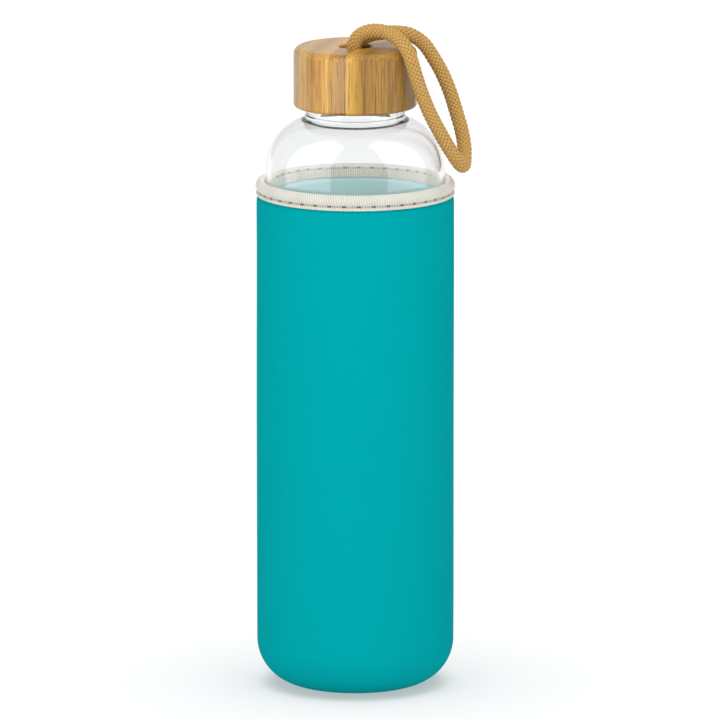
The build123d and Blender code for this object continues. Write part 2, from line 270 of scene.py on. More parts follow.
def bamboo(name, light, dark, streak, dense_side, seed):
    """Laminated bamboo with upright fibres: streaks on the side, dots on the end grain."""
    paint = Paint(name, Roughness=0.42, Specular_IOR_Level=0.25, Coat_Weight=0.45,
                  Coat_Roughness=0.2, Coat_IOR=1.45)
    grain = paint.node("Mapping", {"Vector": paint.place(), "Scale": (1, 1, 0.035),
                                   "Rotation": (0, 0, math.radians(14)),
                                   "Location": (seed * 0.37, seed * 0.11, 0)})
    across = paint.axis(paint.scaled(paint.place(), (1, 1, 1), (0, 0, math.radians(14))), 0)
    tone = paint.noise(grain, 190, 3, 0.55)
    fine = paint.noise(grain, 2400, 3, 0.6)
    bundles = paint.cells(grain, 1150)
    long_wave = paint.noise(paint.scaled(paint.place(), (1, 1, 0.25)), 45, 2)
    gradient = paint.span(across, dense_side[0] * MM, dense_side[1] * MM)
    shade = paint.mix(paint.span(tone, 0.3, 0.7), dark, light)
    shade = paint.mix(paint.span(gradient, 0, 1, 0, 0.55), shade, streak)
    shade = paint.mix(paint.span(long_wave, 0.45, 0.7, 0, 0.25), shade, light)
    spot = paint.calc("MULTIPLY", paint.span(bundles, 0.2, 0.34, 1, 0),
                      paint.span(gradient, 0, 1, 0.6, 1))
    shade = paint.mix(spot, shade, streak)
    shade = paint.mix(paint.span(fine, 0.5, 0.68, 0, 0.75), shade, streak)
    paint.set(Base_Color=shade, Roughness=paint.span(fine, 0.3, 0.7, 0.36, 0.5))
    paint.bump(paint.calc("SUBTRACT", fine, spot), 0.00004, 0.4)
    return paint.material


def moulded(name, colour, shade, roughness, **sockets):
    paint = Paint(name, Roughness=roughness, **sockets)
    grain = paint.noise(paint.place(), 2200, 3)
    flow = paint.noise(paint.place(), 90, 2)
    paint.set(Base_Color=paint.mix(paint.span(flow, 0.35, 0.65), shade, colour))
    paint.bump(grain, 0.00002, 0.4)
    return paint.material


def blown_glass(name):
    paint = Paint(name, Transmission_Weight=1.0, IOR=1.49, Roughness=0.0)
    waves = paint.noise(paint.scaled(paint.place(), (1, 1, 0.3)), 35, 1)
    tint = paint.noise(paint.place(), 12, 1)
    paint.set(Base_Color=paint.mix(tint, (0.955, 0.965, 0.965), (0.965, 0.968, 0.968)))
    paint.bump(waves, 0.00003, 0.25)
    return paint.material


# Each knit's second colour is painted shade, for the troughs of its loops.
TEAL = knit("teal_knit", srgb(0, 166, 171), srgb(0, 150, 156), 0.62, 0.5, 0.02)
LINING = knit("pale_lining", srgb(186, 224, 224), srgb(168, 210, 211), 0.7, 0.55, 0.05)
FOAM = foam("neoprene", srgb(70, 74, 76), srgb(40, 42, 44))
# The binding's second colour serves both soiling and painted shade, and its third is painted
# shade for the needle holes.
TAPE = ribbed_tape("binding", srgb(226, 224, 215), srgb(168, 164, 150), srgb(112, 105, 90), 41,
                   ((True, 182.0), (False, 184.5)))
THREAD = spun_thread("sewing_thread", srgb(226, 224, 214), srgb(186, 183, 171))
TEAL_THREAD = spun_thread("seam_thread", srgb(24, 150, 156), srgb(10, 112, 120))
# The cord's third colour is painted shade, for the gaps between its strands.
CORD_YARN = braid_yarn("cord", srgb(214, 174, 106), srgb(182, 141, 76), srgb(104, 70, 32))
GLASS = blown_glass("clear_glass")
LINER = moulded("liner_plastic", srgb(226, 224, 216), srgb(214, 211, 202), 0.4)
SILICONE = moulded("silicone", srgb(214, 216, 216), srgb(198, 201, 202), 0.5,
                   Subsurface_Weight=0.2, Subsurface_Scale=0.002)


# ---- mesh building --------------------------------------------------------------------------

def arc(center, radius, start, end, steps):
    """Points of a circle between two angles in degrees."""
    angles = np.radians(np.linspace(start, end, steps + 1))
    return [(center[0] + radius * math.cos(a), center[1] + radius * math.sin(a)) for a in angles]


def run(start, end, steps):
    """Points of a straight line, both ends among them."""
    return [tuple(p) for p in np.linspace(start, end, steps + 1)]


def flowing(points, steps):
    """Smooth line through points, steps to each of its spans."""
    p = np.array([points[0], *points, points[-1]], float)
    t = np.linspace(0, 1, steps, endpoint=False)[:, None]
    spans = [0.5 * (2 * b + (c - a) * t + (2 * a - 5 * b + 4 * c - d) * t**2
                    + (3 * b - a - 3 * c + d) * t**3)
             for a, b, c, d in zip(p, p[1:], p[2:], p[3:])]
    return [tuple(q) for q in np.concatenate([*spans, p[-1:]])]


def without_repeats(outline):
    kept = [outline[0]]
    for point in outline[1:]:
        if math.dist(point, kept[-1]) > 1e-4:
            kept.append(point)
    return kept


def make_object(name, mesh, material, sharp):
    mesh.materials.append(material)
    mesh.polygons.foreach_set("use_smooth", [True] * len(mesh.polygons))
    mesh.set_sharp_from_angle(angle=math.radians(sharp))
    made = bpy.data.objects.new(name, mesh)
    bpy.context.scene.collection.objects.link(made)
    return made


def mesh_of(name, points, faces, maps):
    """Mesh from points in metres, faces, and the map's (x, y) of every face corner."""
    mesh = bpy.data.meshes.new(name)
    mesh.from_pydata(points.reshape(-1, 3).tolist(), [], faces)
    layer = mesh.uv_layers.new(name="cloth")
    layer.data.foreach_set("uv", np.asarray(maps, np.float32).ravel())
    return mesh


def lathe(name, outline, segments, material, start=0.0, sweep=TAU, closed=True, relief=None,
          sharp=40):
    """Turns an outline in millimetres about the axis, once round or over part of a turn.
    relief(angle, radius, height) gives the radii and heights of the grid of points."""
    outline = np.array(without_repeats(outline), float)
    if closed and math.dist(outline[0], outline[-1]) < 1e-4:
        outline = outline[:-1]
    whole = sweep > TAU - 1e-6
    columns = segments if whole else segments + 1
    rows = len(outline)
    angle = start + sweep * np.arange(columns) / segments
    radius = np.tile(outline[:, 0], (columns, 1))
    height = np.tile(outline[:, 1], (columns, 1))
    if relief:
        radius, height = relief(angle[:, None], radius, height)
    points = np.stack([radius * np.cos(angle)[:, None], radius * np.sin(angle)[:, None], height],
                      -1) * MM
    ring = np.append(outline, outline[:1], 0)
    along = np.concatenate([[0], np.cumsum(np.hypot(*np.diff(ring, axis=0).T))])
    reach = outline[:, 0].max()
    column, row = np.meshgrid(np.arange(segments), np.arange(rows if closed else rows - 1),
                              indexing="ij")
    column, row = column.ravel(), row.ravel()
    corners = [(column, row), (column + 1, row), (column + 1, row + 1), (column, row + 1)]
    faces = np.stack([(c % columns) * rows + r % rows for c, r in corners], 1).tolist()
    maps = np.stack([np.stack([c * sweep / segments * reach, along[r]], -1)
                     for c, r in corners], 1).reshape(-1, 2).tolist()
    if not whole:
        for side in (0, columns - 1):
            faces.append([side * rows + r for r in range(rows)])
            maps += [(outline[r, 0], outline[r, 1]) for r in range(rows)]
    mesh = mesh_of(name, points, faces, maps)
    work = bmesh.new()
    work.from_mesh(mesh)
    bmesh.ops.triangulate(work, faces=[f for f in work.faces if len(f.verts) > 4])
    bmesh.ops.remove_doubles(work, verts=work.verts, dist=1e-7)
    bmesh.ops.recalc_face_normals(work, faces=work.faces)
    work.to_mesh(mesh)
    work.free()
    return make_object(name, mesh, material, sharp)


def frames_along(points):
    """Unit tangents and two normals at each point of a line, carried along without twist."""
    tangent = np.gradient(points, axis=0)
    tangent /= np.linalg.norm(tangent, axis=1)[:, None]
    normal = np.zeros_like(points)
    side = np.cross(tangent[0], (0.3, 0.8, 0.52))
    for i, t in enumerate(tangent):
        side = side - t * (side @ t)
        side /= np.linalg.norm(side)
        normal[i] = side
    return tangent, normal, np.cross(tangent, normal)


def evenly(points, step):
    """The same line with its points a step apart."""
    points = np.array(points, float)
    along = np.concatenate([[0], np.cumsum(np.linalg.norm(np.diff(points, axis=0), axis=1))])
    count = max(2, round(along[-1] / step) + 1)
    at = np.linspace(0, along[-1], count)
    return np.stack([np.interp(at, along, points[:, k]) for k in range(3)], 1)


def tube(points, out, side, half_out, half_side, ring, lane):
    """Points, faces and map of an oval tube along a line: half sizes along two directions."""
    turn = TAU * np.arange(ring) / ring
    grown = np.ones(len(points))
    grown[[0, -1]] = 0.35
    section = (out[:, None] * np.cos(turn)[:, None] * half_out
               + side[:, None] * np.sin(turn)[:, None] * half_side)
    verts = points[:, None] + section * grown[:, None, None]
    along = np.concatenate([[0], np.cumsum(np.linalg.norm(np.diff(points, axis=0), axis=1))])
    faces, maps = [], []
    for i in range(len(points) - 1):
        for k in range(ring):
            n = (k + 1) % ring
            faces.append([i * ring + k, i * ring + n, (i + 1) * ring + n, (i + 1) * ring + k])
            u = (k / ring + 3 * lane, (k + 1) / ring + 3 * lane)
            v = (along[i] / MM, along[i + 1] / MM)
            maps += [(v[0], u[0]), (v[0], u[1]), (v[1], u[1]), (v[1], u[0])]
    last = (len(points) - 1) * ring
    faces += [list(range(ring)), list(range(last + ring - 1, last - 1, -1))]
    maps += [(0.0, 3.0 * lane)] * (2 * ring)
    return verts.reshape(-1, 3), faces, maps


def joined(name, tubes, material, outward=None):
    """One piece from several tubes."""
    points, faces, maps, base = [], [], [], 0
    for verts, its_faces, its_maps in tubes:
        points.append(verts)
        faces += [[base + v for v in face] for face in its_faces]
        maps += its_maps
        base += len(verts)
    mesh = mesh_of(name, np.concatenate(points), faces, maps)
    if outward is not None:
        mesh.attributes.new("outward", "FLOAT", "POINT").data.foreach_set("value", outward)
    work = bmesh.new()
    work.from_mesh(mesh)
    bmesh.ops.recalc_face_normals(work, faces=work.faces)
    work.to_mesh(mesh)
    work.free()
    return make_object(name, mesh, material, 60)


def place_piece(piece, body, slot, *nodes):
    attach(piece, body)
    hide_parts(*nodes)
    return piece


# ---- cord loop ------------------------------------------------------------------------------

CORD_ROUTE = (
    (-0.0008, -0.00285, 0.2303), (-0.0009, -0.00285, 0.2338), (-0.0001, -0.0029, 0.2374),
    (0.0022, -0.0032, 0.2399), (0.0065, -0.0044, 0.2413), (0.0115, -0.0073, 0.2411),
    (0.0151, -0.0110, 0.2396), (0.0183, -0.0150, 0.2369), (0.0202, -0.0163, 0.2322),
    (0.0217, -0.0155, 0.2264), (0.0241, -0.0138, 0.2190), (0.0271, -0.0120, 0.2115),
    (0.0311, -0.0099, 0.2037), (0.0350, -0.0072, 0.1966), (0.0379, -0.0042, 0.1920),
    (0.0393, 0.0003, 0.1906), (0.0396, 0.0046, 0.1929), (0.0395, 0.0073, 0.1976),
    (0.0383, 0.0090, 0.2034), (0.0363, 0.0100, 0.2098), (0.0342, 0.0102, 0.2168),
    (0.0312, 0.0102, 0.2238), (0.0279, 0.0095, 0.2296), (0.0246, 0.0080, 0.2348),
    (0.0196, 0.0046, 0.2386), (0.0136, 0.0035, 0.2392), (0.0082, 0.0032, 0.2391),
    (0.0043, 0.0030, 0.2380), (0.0010, 0.0029, 0.2364), (-0.0004, 0.00285, 0.2334),
    (0, 0.00285, 0.2303),
)
STRANDS = 8                 # each way round the cord
STRAND_STEP = 0.00035


def route_line(points):
    """Points read from the smooth spline whose control points are the cord's route."""
    data = bpy.data.curves.new("route", "CURVE")
    data.dimensions = "3D"
    data.resolution_u = 32
    spline = data.splines.new("NURBS")
    spline.points.add(len(points) - 1)
    for point, place in zip(spline.points, points):
        point.co = (*place, 1)
    spline.order_u = 3
    spline.use_endpoint_u = True
    carrier = bpy.data.objects.new("route", data)
    bpy.context.scene.collection.objects.link(carrier)
    bpy.context.view_layer.update()
    line = bpy.data.meshes.new_from_object(carrier)
    read = [tuple(v.co) for v in line.vertices]
    bpy.data.objects.remove(carrier)
    bpy.data.meshes.remove(line)
    return read


# Millimetres on the full-size cord: the strands' middle radius and how far they weave in and
# out of it, half a strand's thickness and width, and the core's radius.
BRAID = (1.93, 0.35, 0.43, 0.66, 1.7)
STRAND_SIDES, CORE_SIDES = 8, 16
GAP_DEPTH, TOP_RISE = 0.9, 0.4      # shares of the middle radius where "outward" is 0, and to 1


def braid(name, line, scale, pitch, material):
    """Two sets of strands, wound opposite ways and passing over and under in turn, on a core."""
    middle_r, wave, thick, wide, core_r = (scale * v * MM for v in BRAID)
    _, normal, binormal = frames_along(line)
    along = np.arange(len(line)) * np.linalg.norm(line[1] - line[0])
    crossings = 2 * STRANDS * along / pitch
    tubes, outward = [], []
    for way in (1, -1):
        for k in range(STRANDS):
            angle = way * TAU * along / pitch + TAU * k / STRANDS
            rising = crossings + 2 * k if way > 0 else 2 * k - crossings
            radius = middle_r + way * wave * np.cos(math.pi * rising)
            out = normal * np.cos(angle)[:, None] + binormal * np.sin(angle)[:, None]
            centre = line + out * radius[:, None]
            ahead = np.gradient(centre, axis=0)
            side = np.cross(ahead, out)
            side /= np.linalg.norm(side, axis=1)[:, None]
            tubes.append(tube(centre, out, side, thick, wide, STRAND_SIDES, k + 0.5 * way))
            # How far out each point of a strand lies; the yarn's colour turns its low points into
            # painted shade.
            section = np.cos(TAU * np.arange(STRAND_SIDES) / STRAND_SIDES)
            lift = radius[:, None] + thick * section
            outward.append(((lift / middle_r - GAP_DEPTH) / TOP_RISE).ravel())
    tubes.append(tube(line, normal, binormal, core_r, core_r, CORE_SIDES, 0))
    # The core lies deep all over, so it is painted wholly in the dark shade colour.
    outward.append(np.zeros(len(line) * CORE_SIDES))
    return joined(name, tubes, material, np.concatenate(outward))


cord_line = evenly(route_line(CORD_ROUTE), STRAND_STEP)
CORD_PITCH, KNOT_PITCH, KNOT_SCALE = 0.0136, 0.009, 0.66
cord = braid("carry_cord_braid", cord_line, 1.0, CORD_PITCH, CORD_YARN)
place_piece(cord, "carry_loop", "cord", "carry_cord")

KNOT_TURN = (4.3, 1.4, 0.95)        # radius, sway and rise of the knot's line
knot_low, knot_high = node_range("cord_knot")
knot_z = (knot_low.z + knot_high.z) / 2
around = np.linspace(0, TAU, 240)
knot_r = KNOT_TURN[0] + KNOT_TURN[1] * np.cos(3 * around)
knot_line = np.stack([knot_r * np.cos(2 * around), knot_r * np.sin(2 * around),
                      knot_z + KNOT_TURN[2] * np.sin(3 * around)], 1) * MM
knot = braid("cord_knot_braid", evenly(knot_line, STRAND_STEP), KNOT_SCALE, KNOT_PITCH,
             CORD_YARN)
place_piece(knot, "carry_loop", "cord", "cord_knot")


# ---- glass bottle ---------------------------------------------------------------------------

PITCH = 25.4 / 6
THREAD_TURNS = 1.25
THREAD_START = 214.4
THREAD_HEIGHT = 1.1
NECK_R = 17.6
DOME = (12.5, 189.5)


def dome_meets_neck(dome_r, neck_r, blend_r):
    """Centre and angle of the small arc that joins the dome to the neck."""
    center_r = neck_r + blend_r
    out = center_r - DOME[0]
    up = math.sqrt((dome_r + blend_r) ** 2 - out**2)
    return (center_r, DOME[1] + up), math.degrees(math.atan2(up, out))


def sphere_cap(radius, low, rise, steps):
    """Shallow cap from the axis out to a radius, that much higher on the axis."""
    sphere_r = (radius**2 + rise**2) / (2 * rise)
    edge = math.degrees(math.acos(radius / sphere_r))
    return arc((0, low + rise - sphere_r), sphere_r, 90, edge, steps)


def neck_thread(angle, radius, height):
    """Raises the screw thread on the neck's outside, fading in and out at its two ends."""
    lift = np.zeros_like(radius)
    outside = (np.abs(radius - NECK_R) < 0.01) & (height > THREAD_START - 1.2)
    for lap in (0, 1):
        turns = angle / TAU + lap
        ends = np.clip(np.minimum(turns, THREAD_TURNS - turns) / 0.05, 0, 1)
        off = np.abs(height - THREAD_START - PITCH * turns)
        ridge = np.clip((1.0 - off) / 0.45, 0, 1)
        ridge = ridge * ridge * (3 - 2 * ridge)
        lift = np.maximum(lift, ridge * ends * ends * (3 - 2 * ends))
    return radius + np.where(outside, lift * THREAD_HEIGHT, 0), height


collar_center, collar_angle = dome_meets_neck(20.0, 17.9, 3.0)
bore_center, bore_angle = dome_meets_neck(18.2, 15.8, 2.4)
glass_outline = [
    *sphere_cap(13.0, 3.25, 2.1, 24),
    *arc((14.2, 4.45), 1.2, -100, -90, 2)[1:],
    *run((14.2, 3.25), (19.05, 3.25), 4),
    *arc((19.05, 16.7), 13.45, -90, 0, 40),
    *run((32.5, 16.7), (32.5, 189.5), 90),
    *arc(DOME, 20.0, 0, collar_angle, 64),
    *arc(collar_center, 3.0, collar_angle + 180, 180, 16),
    *run((17.9, collar_center[1]), (17.9, 212.9), 4),
    *arc((17.6, 212.9), 0.3, 0, 90, 5),
    *run((17.6, 213.2), (17.6, 220.65), 70),
    *arc((16.7, 220.65), 0.9, 0, 180, 16),
    *run((15.8, 220.65), (15.8, bore_center[1]), 16),
    *arc(bore_center, 3.0, 180, bore_angle + 180, 16),
    *arc(DOME, 18.2, bore_angle, 0, 60),
    *run((30.7, 189.5), (30.7, 17.2), 90),
    *arc((20.7, 17.2), 10.0, 0, -90, 32),
    *reversed(sphere_cap(20.7, 7.2, 1.5, 20)),
]
bottle = lathe("glass_bottle_clear", glass_outline, 256, GLASS, closed=False, relief=neck_thread,
               sharp=75)
place_piece(bottle, "bottle", "clear_glass", "glass_bottle")


# ---- bamboo lid -----------------------------------------------------------------------------

STRIP_ANGLE = math.radians(-14)
STRIP_JOINTS = (-17.4, -11.0, -4.5, 1.9, 8.0, 14.6)
JOINT_GAP = 0.03
CAP_OUTLINE = [
    *run((20.1, 212.8), (21.1, 212.8), 2),
    *arc((21.1, 214.0), 1.2, -90, 0, 10),
    *run((22.3, 214.0), (22.3, 232.0), 12),
    *arc((19.5, 232.0), 2.8, 0, 90, 16),
    *run((19.5, 234.8), (6.7, 234.8), 10),
    *arc((6.7, 234.0), 0.8, 90, 180, 8),
    *run((5.9, 234.0), (5.9, 230.8), 3),
    *run((5.9, 230.8), (10.5, 230.8), 2),
    *run((10.5, 230.8), (10.5, 224.4), 3),
    *run((10.5, 224.4), (20.1, 224.4), 3),
    *run((20.1, 224.4), (20.1, 212.8), 6),
]
STRIP_TONES = (
    (srgb(184, 147, 86), srgb(166, 127, 62), srgb(124, 84, 34), (-17.4, -22.3)),
    (srgb(202, 162, 94), srgb(184, 142, 72), srgb(134, 90, 36), (-17.0, -11.2)),
    (srgb(214, 169, 94), srgb(196, 148, 70), srgb(144, 94, 36), (-5.0, -10.8)),
    (srgb(184, 137, 50), srgb(162, 114, 34), srgb(100, 62, 12), (-4.2, 1.8)),
    (srgb(199, 155, 60), srgb(178, 133, 42), srgb(118, 78, 20), (3.6, 8.0)),
    (srgb(176, 134, 60), srgb(156, 115, 46), srgb(104, 70, 26), (14.4, 8.2)),
    (srgb(174, 134, 66), srgb(152, 113, 50), srgb(106, 74, 30), (15.0, 22.3)),
)


def cut_strip(cap, low, high, name, material):
    """The part of the turned cap between two glue planes, closed again where it was cut."""
    work = bmesh.new()
    work.from_mesh(cap)
    across = Vector((math.cos(STRIP_ANGLE), math.sin(STRIP_ANGLE), 0))
    for at, keep_above in ((low, True), (high, False)):
        if at is None:
            continue
        parts = [*work.verts, *work.edges, *work.faces]
        cut = bmesh.ops.bisect_plane(work, geom=parts, dist=1e-8, plane_co=across * at * MM,
                                     plane_no=across, clear_inner=keep_above,
                                     clear_outer=not keep_above)
        rim = [e for e in cut["geom_cut"] if isinstance(e, bmesh.types.BMEdge)]
        bmesh.ops.triangle_fill(work, use_beauty=True, edges=rim)
    bmesh.ops.recalc_face_normals(work, faces=work.faces)
    mesh = bpy.data.meshes.new(name)
    work.to_mesh(mesh)
    work.free()
    return make_object(name, mesh, material, 30)


cap_solid = lathe("cap", CAP_OUTLINE, 360, GLASS)
edges = (None, *STRIP_JOINTS, None)
for number, (low, high) in enumerate(zip(edges, edges[1:]), start=1):
    light, dark, streak, dense_side = STRIP_TONES[number - 1]
    wood = bamboo(f"bamboo_{number}", light, dark, streak, dense_side, number)
    strip = cut_strip(cap_solid.data, None if low is None else low + JOINT_GAP / 2,
                      None if high is None else high - JOINT_GAP / 2,
                      f"bamboo_strip_{number}_grain", wood)
    place_piece(strip, "lid", "bamboo", f"bamboo_strip_{number}")
bpy.data.objects.remove(cap_solid)


# ---- sleeve ---------------------------------------------------------------------------------

SLEEVE_R = 35.75
SLEEVE_CORNER = 16.6
CORNER = (19.15, 16.7)
BASE_RISE = 0.1
DEPTHS = (0.0, 0.45, 2.5, 2.95)
PINCHED_R = (34.8, 34.45, 33.7, 33.35)
SEAM_TUCK = 0.75            # how far the two edges turn in at the back seam
SEAM_REACH = 2.2            # how far from the seam the cloth starts to turn in
SEAM_GAP = 0.1


def smooth_step(value):
    value = np.clip(value, 0, 1)
    return value * value * (3 - 2 * value)


def panel_outline(outside, inside, edge_r):
    """Closed outline of one layer of the side panel, as deep in the laminate as its numbers."""
    out_r, in_r = SLEEVE_R - DEPTHS[outside], SLEEVE_R - DEPTHS[inside]
    low, high = BASE_RISE + DEPTHS[outside], BASE_RISE + DEPTHS[inside]
    return [
        *run((edge_r, low), (CORNER[0], low), 3),
        *arc(CORNER, SLEEVE_CORNER - DEPTHS[outside], -90, 0, 32),
        *run((out_r, CORNER[1]), (out_r, 176), 60),
        *flowing([(out_r, 176), (out_r - 0.05, 178.6), (PINCHED_R[outside] + 0.5, 180),
                  (PINCHED_R[outside], 181)], 5),
        *run((PINCHED_R[outside], 181), (PINCHED_R[outside], 184.6), 3),
        *run((PINCHED_R[inside], 184.6), (PINCHED_R[inside], 181), 3),
        *flowing([(PINCHED_R[inside], 181), (in_r + 0.06, 179.6), (in_r, 178.4)], 5),
        *run((in_r, 178.4), (in_r, CORNER[1]), 60),
        *arc(CORNER, SLEEVE_CORNER - DEPTHS[inside], 0, -90, 32),
        *run((CORNER[0], high), (edge_r, high), 3),
        (edge_r, low),
    ]


def panel_relief(angle, radius, height):
    """Hand-feel of the wrapped panel: faint slackness, and edges turned in at the back seam.
    The seam shows outside only, so the turn fades through the laminate to nothing."""
    from_seam = np.abs((angle - BACK + math.pi) % TAU - math.pi) * SLEEVE_R
    tuck = 1 - smooth_step(from_seam / SEAM_REACH)
    tuck = tuck * (1 + 0.12 * np.cos(TAU * height / 4))
    tuck = tuck * smooth_step((height - 2) / 8) * smooth_step((179 - height) / 4)
    body = smooth_step((height - 6) / 30) * smooth_step((176 - height) / 20)
    slack = 0.05 * np.sin(2 * angle + 0.7 + height / 60) + 0.035 * np.sin(
        5 * angle + height / 23) + 0.03 * np.sin(3 * angle - height / 37)
    outer = np.clip((radius - (SLEEVE_R - DEPTHS[2])) / DEPTHS[2], 0, 1)
    return radius - tuck * SEAM_TUCK * outer + slack * body, height


def side_panel(name, outside, inside, edge_r, gap, material):
    """One wrapped layer, whose two edges meet at the back a gap in millimetres apart."""
    apart = gap / SLEEVE_R
    return lathe(name, panel_outline(outside, inside, edge_r), 720, material,
                 BACK + apart / 2, TAU - apart, relief=panel_relief, sharp=50)


def disc_outline(radius, low, high, soft):
    """Disc with softened edges, as an open outline from the axis and back to it."""
    return [
        *run((0, low), (radius - soft, low), 8),
        *arc((radius - soft, low + soft), soft, -90, 0, 5),
        *arc((radius - soft, high - soft), soft, 0, 90, 5),
        *run((radius - soft, high), (0, high), 8),
    ]


face = side_panel("sleeve_knit_face", 0, 1, 18.4, SEAM_GAP, TEAL)
place_piece(face, "sleeve", "teal_knit", "sleeve_outer_fabric")
core = side_panel("sleeve_foam_pad", 1, 2, 17.6, SEAM_GAP, FOAM)
place_piece(core, "sleeve", "neoprene", "sleeve_foam_core")
lining = side_panel("sleeve_lining_knit", 2, 3, 17.6, 0.0, LINING)
place_piece(lining, "sleeve", "pale_lining", "sleeve_lining")
base_face = lathe("base_knit_face", disc_outline(16.6, 0, 0.45, 0.2), 180, TEAL, closed=False)
place_piece(base_face, "sleeve", "teal_knit", "base_fabric")
base_pad = lathe("base_foam_pad", disc_outline(17.4, 0.45, 2.7, 0.3), 180, FOAM, closed=False)
place_piece(base_pad, "sleeve", "neoprene", "base_foam")
base_inner = lathe("base_lining_knit", disc_outline(17.4, 2.7, 3.2, 0.2), 180, LINING,
                   closed=False)
place_piece(base_inner, "sleeve", "pale_lining", "base_lining")

# ---- binding and stitches -------------------------------------------------------------------

RIBS = 246
RIB_HEIGHT = 0.16
RIB_LEAN = 0.9              # ribs that the weave leans by over the tape's height, at most
STITCHES = 41
STITCH_SPACING = TAU / STITCHES
OUTSIDE_LINE = (35.35, 182.0)       # where the lockstitch runs outside ...
INSIDE_LINE = (32.95, 184.5)        # ... and inside the fold
HOLE_DEPTH = 0.55

outer_skin = flowing([(35.75, 180.65), (35.9, 180.95), (35.78, 181.5), (35.2, 182.0),
                      (35.6, 182.65), (35.98, 183.7), (35.8, 184.8), (35.25, 185.7),
                      (34.4, 186.15), (33.6, 185.85), (33.1, 185.2), (32.95, 184.5),
                      (32.82, 183.9), (32.8, 182.6), (32.8, 181.2), (32.88, 180.85)], 6)
inner_skin = flowing([(33.22, 180.85), (33.3, 181.2), (33.32, 183.9), (33.5, 184.9),
                      (33.9, 185.4), (34.4, 185.6), (34.95, 185.25), (35.3, 184.6),
                      (35.35, 183.6), (35.1, 182.6), (34.9, 182.0), (35.2, 181.4),
                      (35.35, 180.8)], 3)


def ridge(angle, height):
    """How high on a rib a point is, 0 to 1. The weave leans more in some places than others."""
    lean = RIB_LEAN * (0.4 + 0.6 * np.sin(angle - 2.6)) * (height - OUTSIDE_LINE[1]) / 4
    return np.abs(np.cos(RIBS * angle / 2 + math.pi * lean))


TAPE_FOLD_R = 34.35         # between the tape's outer leg and its inner one
HOLE_SPREAD = 0.75          # of the dimple round a needle hole, along the stitches


def tape_relief(angle, radius, height):
    """The tape's cross ribs, its needle holes between stitches, and a slight pucker at each
    stitch.
    """
    skin = np.zeros(radius.shape[1])
    skin[:len(outer_skin)] = 1
    edge = np.minimum(np.arange(len(skin)) / 4, (len(outer_skin) - 1 - np.arange(len(skin))) / 4)
    skin = skin * np.clip(edge, 0, 1)
    outside = np.where(radius > TAPE_FOLD_R, 1.0, -1.0)
    crown = smooth_step((height - 184.8) / 1.2)
    rib = (ridge(angle, height) - 0.55) * RIB_HEIGHT * skin
    phase = (angle / STITCH_SPACING + 0.5) % 1 - 0.5
    near = np.exp(-((phase * STITCH_SPACING * 35.4 / HOLE_SPREAD) ** 2))
    hole_out = np.exp(-(((height - OUTSIDE_LINE[1]) / 0.42) ** 2)) * (radius > TAPE_FOLD_R)
    hole_in = np.exp(-(((height - INSIDE_LINE[1]) / 0.38) ** 2)) * (radius < TAPE_FOLD_R)
    sunk = HOLE_DEPTH * near * skin * (hole_out + 0.8 * hole_in)
    pucker = 0.07 * np.cos(TAU * angle / STITCH_SPACING) * skin * smooth_step(
        (186.3 - height) / 2)
    radial = outside * (1 - crown)
    return radius + radial * (rib - sunk - pucker), height + crown * rib


tape = lathe("binding_tape_ribbed", outer_skin + inner_skin, RIBS * 8, TAPE,
             relief=tape_relief, sharp=70)
# How deep in a rib valley each point of the tape lies, which the binding's colour turns into
# painted shade.
tape_place = np.zeros(len(tape.data.vertices) * 3, np.float32)
tape.data.vertices.foreach_get("co", tape_place)
tape_x, tape_y, tape_z = tape_place.reshape(-1, 3).T
rib_valley_shade = 1 - ridge(np.arctan2(tape_y, tape_x) % TAU, tape_z / MM)
tape.data.attributes.new("rib_valley_shade", "FLOAT", "POINT").data.foreach_set("value", rib_valley_shade)
place_piece(tape, "sleeve", "binding", "binding_tape")


THREAD_STEP = 0.00016       # metres between the rings of a thread's plies


def ply_thread(path, radius, twist, lanes=2):
    """Twisted sewing thread along a path: its plies wound about the path."""
    line = evenly(path, THREAD_STEP)
    tangent, normal, binormal = frames_along(line)
    along = np.arange(len(line)) * THREAD_STEP
    plies = []
    for k in range(lanes):
        angle = TAU * along / twist + TAU * k / lanes
        out = normal * np.cos(angle)[:, None] + binormal * np.sin(angle)[:, None]
        side = np.cross(tangent, out)
        plies.append(tube(line + out * radius * 0.5, out, side, radius * 0.62, radius * 0.62, 6,
                          k))
    return plies


def ring_stitch(middle, half_angle, line, proud, dip, tilt):
    """Path of one stitch lying round the tape, its two ends pulled down into the holes."""
    t = np.linspace(-1, 1, 25)
    angle = middle + half_angle * t
    radius = line[0] + proud - math.copysign(dip, proud) * np.abs(t) ** 6
    height = line[1] + tilt * t
    return np.stack([radius * np.cos(angle), radius * np.sin(angle), height], 1) * MM


threads = []
for i in range(STITCHES):
    middle = (i + 0.5) * STITCH_SPACING
    half = STITCH_SPACING * 0.36
    threads += ply_thread(ring_stitch(middle, half, OUTSIDE_LINE, 0.12, 0.5, 0.05), 0.00016,
                          0.0011)
    threads += ply_thread(ring_stitch(middle, half, INSIDE_LINE, -0.08, 0.4, 0.05), 0.00015,
                          0.0011)
stitches = joined("binding_lockstitch", threads, THREAD)
place_piece(stitches, "sleeve", "sewing_thread", "binding_stitches")

SEAM_LOW, SEAM_HIGH = (corner.z for corner in node_range("side_seam_stitches"))
ZIGZAG_HALF = 1.3
ZIGZAG_RISE = 2.0
threads = []
zig_z = np.arange(SEAM_LOW, SEAM_HIGH, ZIGZAG_RISE)
for i, z in enumerate(zig_z):
    way = 1 if i % 2 else -1
    t = np.linspace(-1, 1, 15)
    x = way * ZIGZAG_HALF * t
    depth = SLEEVE_R - SEAM_TUCK * (1 - smooth_step(np.abs(x) / SEAM_REACH))
    y = depth + 0.17 - 0.45 * np.abs(t) ** 8
    threads += ply_thread(np.stack([x, y, z + ZIGZAG_RISE * (t + 1) / 2], 1) * MM, 0.0002, 0.0013)
seam = joined("side_seam_zigzag", threads, TEAL_THREAD)
place_piece(seam, "sleeve", "sewing_thread", "side_seam_stitches")

